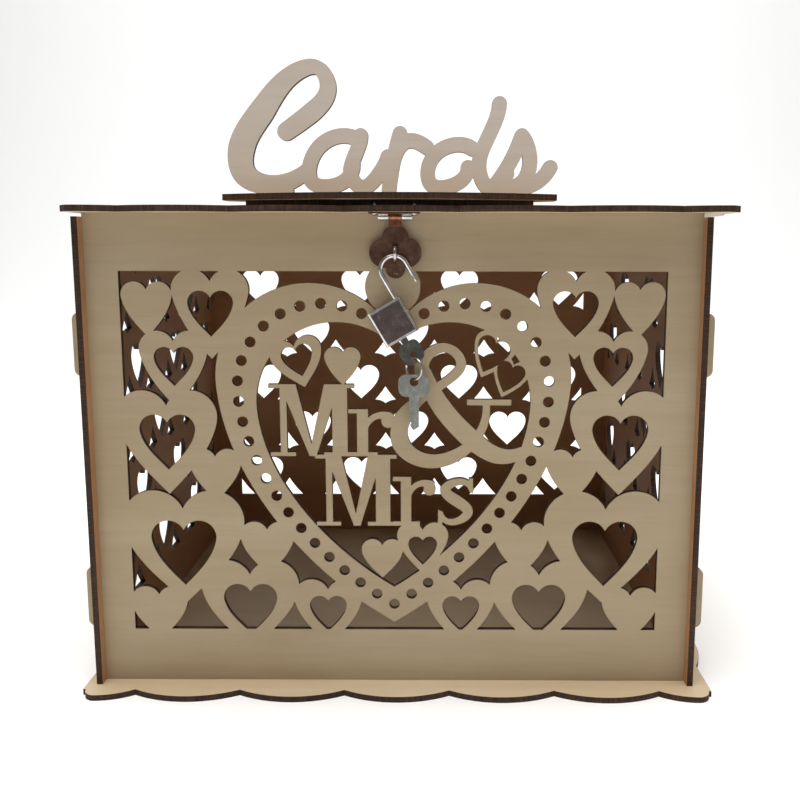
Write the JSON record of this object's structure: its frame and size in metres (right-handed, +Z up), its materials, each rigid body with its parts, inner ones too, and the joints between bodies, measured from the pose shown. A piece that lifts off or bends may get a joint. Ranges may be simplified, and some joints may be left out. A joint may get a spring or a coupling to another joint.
{
  "type": "wedding card box",
  "caption": "Laser-cut plywood card box with heart fretwork walls, a scalloped hinged lid with a card slot and a standing sign, and a hasp with a small open padlock and keys.",
  "frame": {"origin": "middle of the base's flat underside, on the surface the box stands on", "axes": "+X to the right seen from the front, -Y out of the front panel that bears the lettering, +Z up"},
  "size_m": [0.3357, 0.289, 0.3148],
  "materials": {
    "plywood": "bare laser-cut plywood with scorched edges",
    "hinge_brass": "brushed",
    "aged_bronze": "dark aged bronze",
    "nickel_wire": "nickel-plated wire",
    "lock_steel": "brushed dark plate",
    "bright_chrome": "polished",
    "key_nickel": "stamped nickel-plated sheet"
  },
  "bodies": {
    "box": {"base_plate": "plywood", "front_panel": "plywood", "back_panel": "plywood", "left_panel": "plywood", "right_panel": "plywood", "left_hinge_box_leaf": "hinge_brass", "right_hinge_box_leaf": "hinge_brass", "left_hinge_pin": "hinge_brass", "right_hinge_pin": "hinge_brass", "hinge_box_screws": "hinge_brass", "staple_plate": "aged_bronze", "staple": "nickel_wire", "staple_screws": "aged_bronze"},
    "lid": {"lid_panel": "plywood", "sign_riser": "plywood", "sign_plate": "plywood", "cards_sign": "plywood", "left_hinge_lid_leaf": "hinge_brass", "right_hinge_lid_leaf": "hinge_brass", "hinge_lid_screws": "hinge_brass", "hasp_leaf": "aged_bronze", "hasp_pin": "aged_bronze", "hasp_screws": "aged_bronze"},
    "strap": {"hasp_strap": "aged_bronze"},
    "shackle": {"padlock_shackle": "bright_chrome"},
    "seat": {"shackle_seat": "bright_chrome"},
    "case": {"padlock_case": "lock_steel", "shackle_spring": "bright_chrome"},
    "bolt": {"padlock_bolt": "bright_chrome"},
    "plug": {"padlock_plug": "bright_chrome", "key_in_lock": "key_nickel"},
    "ring": {"key_ring": "key_nickel"},
    "spare_key": {"spare_key": "key_nickel"}
  },
  "joints": [
    {"name": "lid_hinge", "type": "hinge", "parent": "box", "child": "lid", "pos_m": [0, 0.1285, 0.24], "axis": [-1, 0, 0], "range_deg": [0, 95]},
    {"name": "strap_hinge", "type": "hinge", "parent": "lid", "child": "strap", "pos_m": [0.0015, -0.129, 0.24], "axis": [-1, 0, 0], "range_deg": [0, 90]},
    {"name": "padlock_swing", "type": "hinge", "parent": "box", "child": "shackle", "pos_m": [0.0015, -0.132, 0.2195], "axis": [0, 1, 0], "range_deg": [-15, 15]},
    {"name": "shackle_turn", "type": "hinge", "parent": "shackle", "child": "seat", "pos_m": [0.00145, -0.132, 0.20124], "axis": [-0.5075, 0, 0.8616], "range_deg": [0, 180]},
    {"name": "shackle_slide", "type": "slide", "parent": "seat", "child": "case", "axis": [-0.5075, 0, 0.8616], "range_m": [0, 0.0061]},
    {"name": "key_turn", "type": "hinge", "parent": "case", "child": "plug", "pos_m": [-0.00423, -0.132, 0.19789], "axis": [-0.5075, 0, 0.8616], "range_deg": [-50, 10]},
    {"name": "bolt_slide", "type": "slide", "parent": "case", "child": "bolt", "axis": [-0.8616, 0, -0.5075], "range_m": [-0.00016, 0.00076]},
    {"name": "ring_swing", "type": "hinge", "parent": "case", "child": "ring", "pos_m": [0.01043, -0.132, 0.17244], "axis": [0.7071, -0.7071, 0], "range_deg": [-15, 10]},
    {"name": "spare_key_swing", "type": "hinge", "parent": "ring", "child": "spare_key", "pos_m": [0.01043, -0.132, 0.16164], "axis": [0, 1, 0], "range_deg": [-20, 20]}
  ],
  "couplings": [
    {"joint": "bolt_slide", "follows": "key_turn", "m_per_rad": -0.00086}
  ]
}
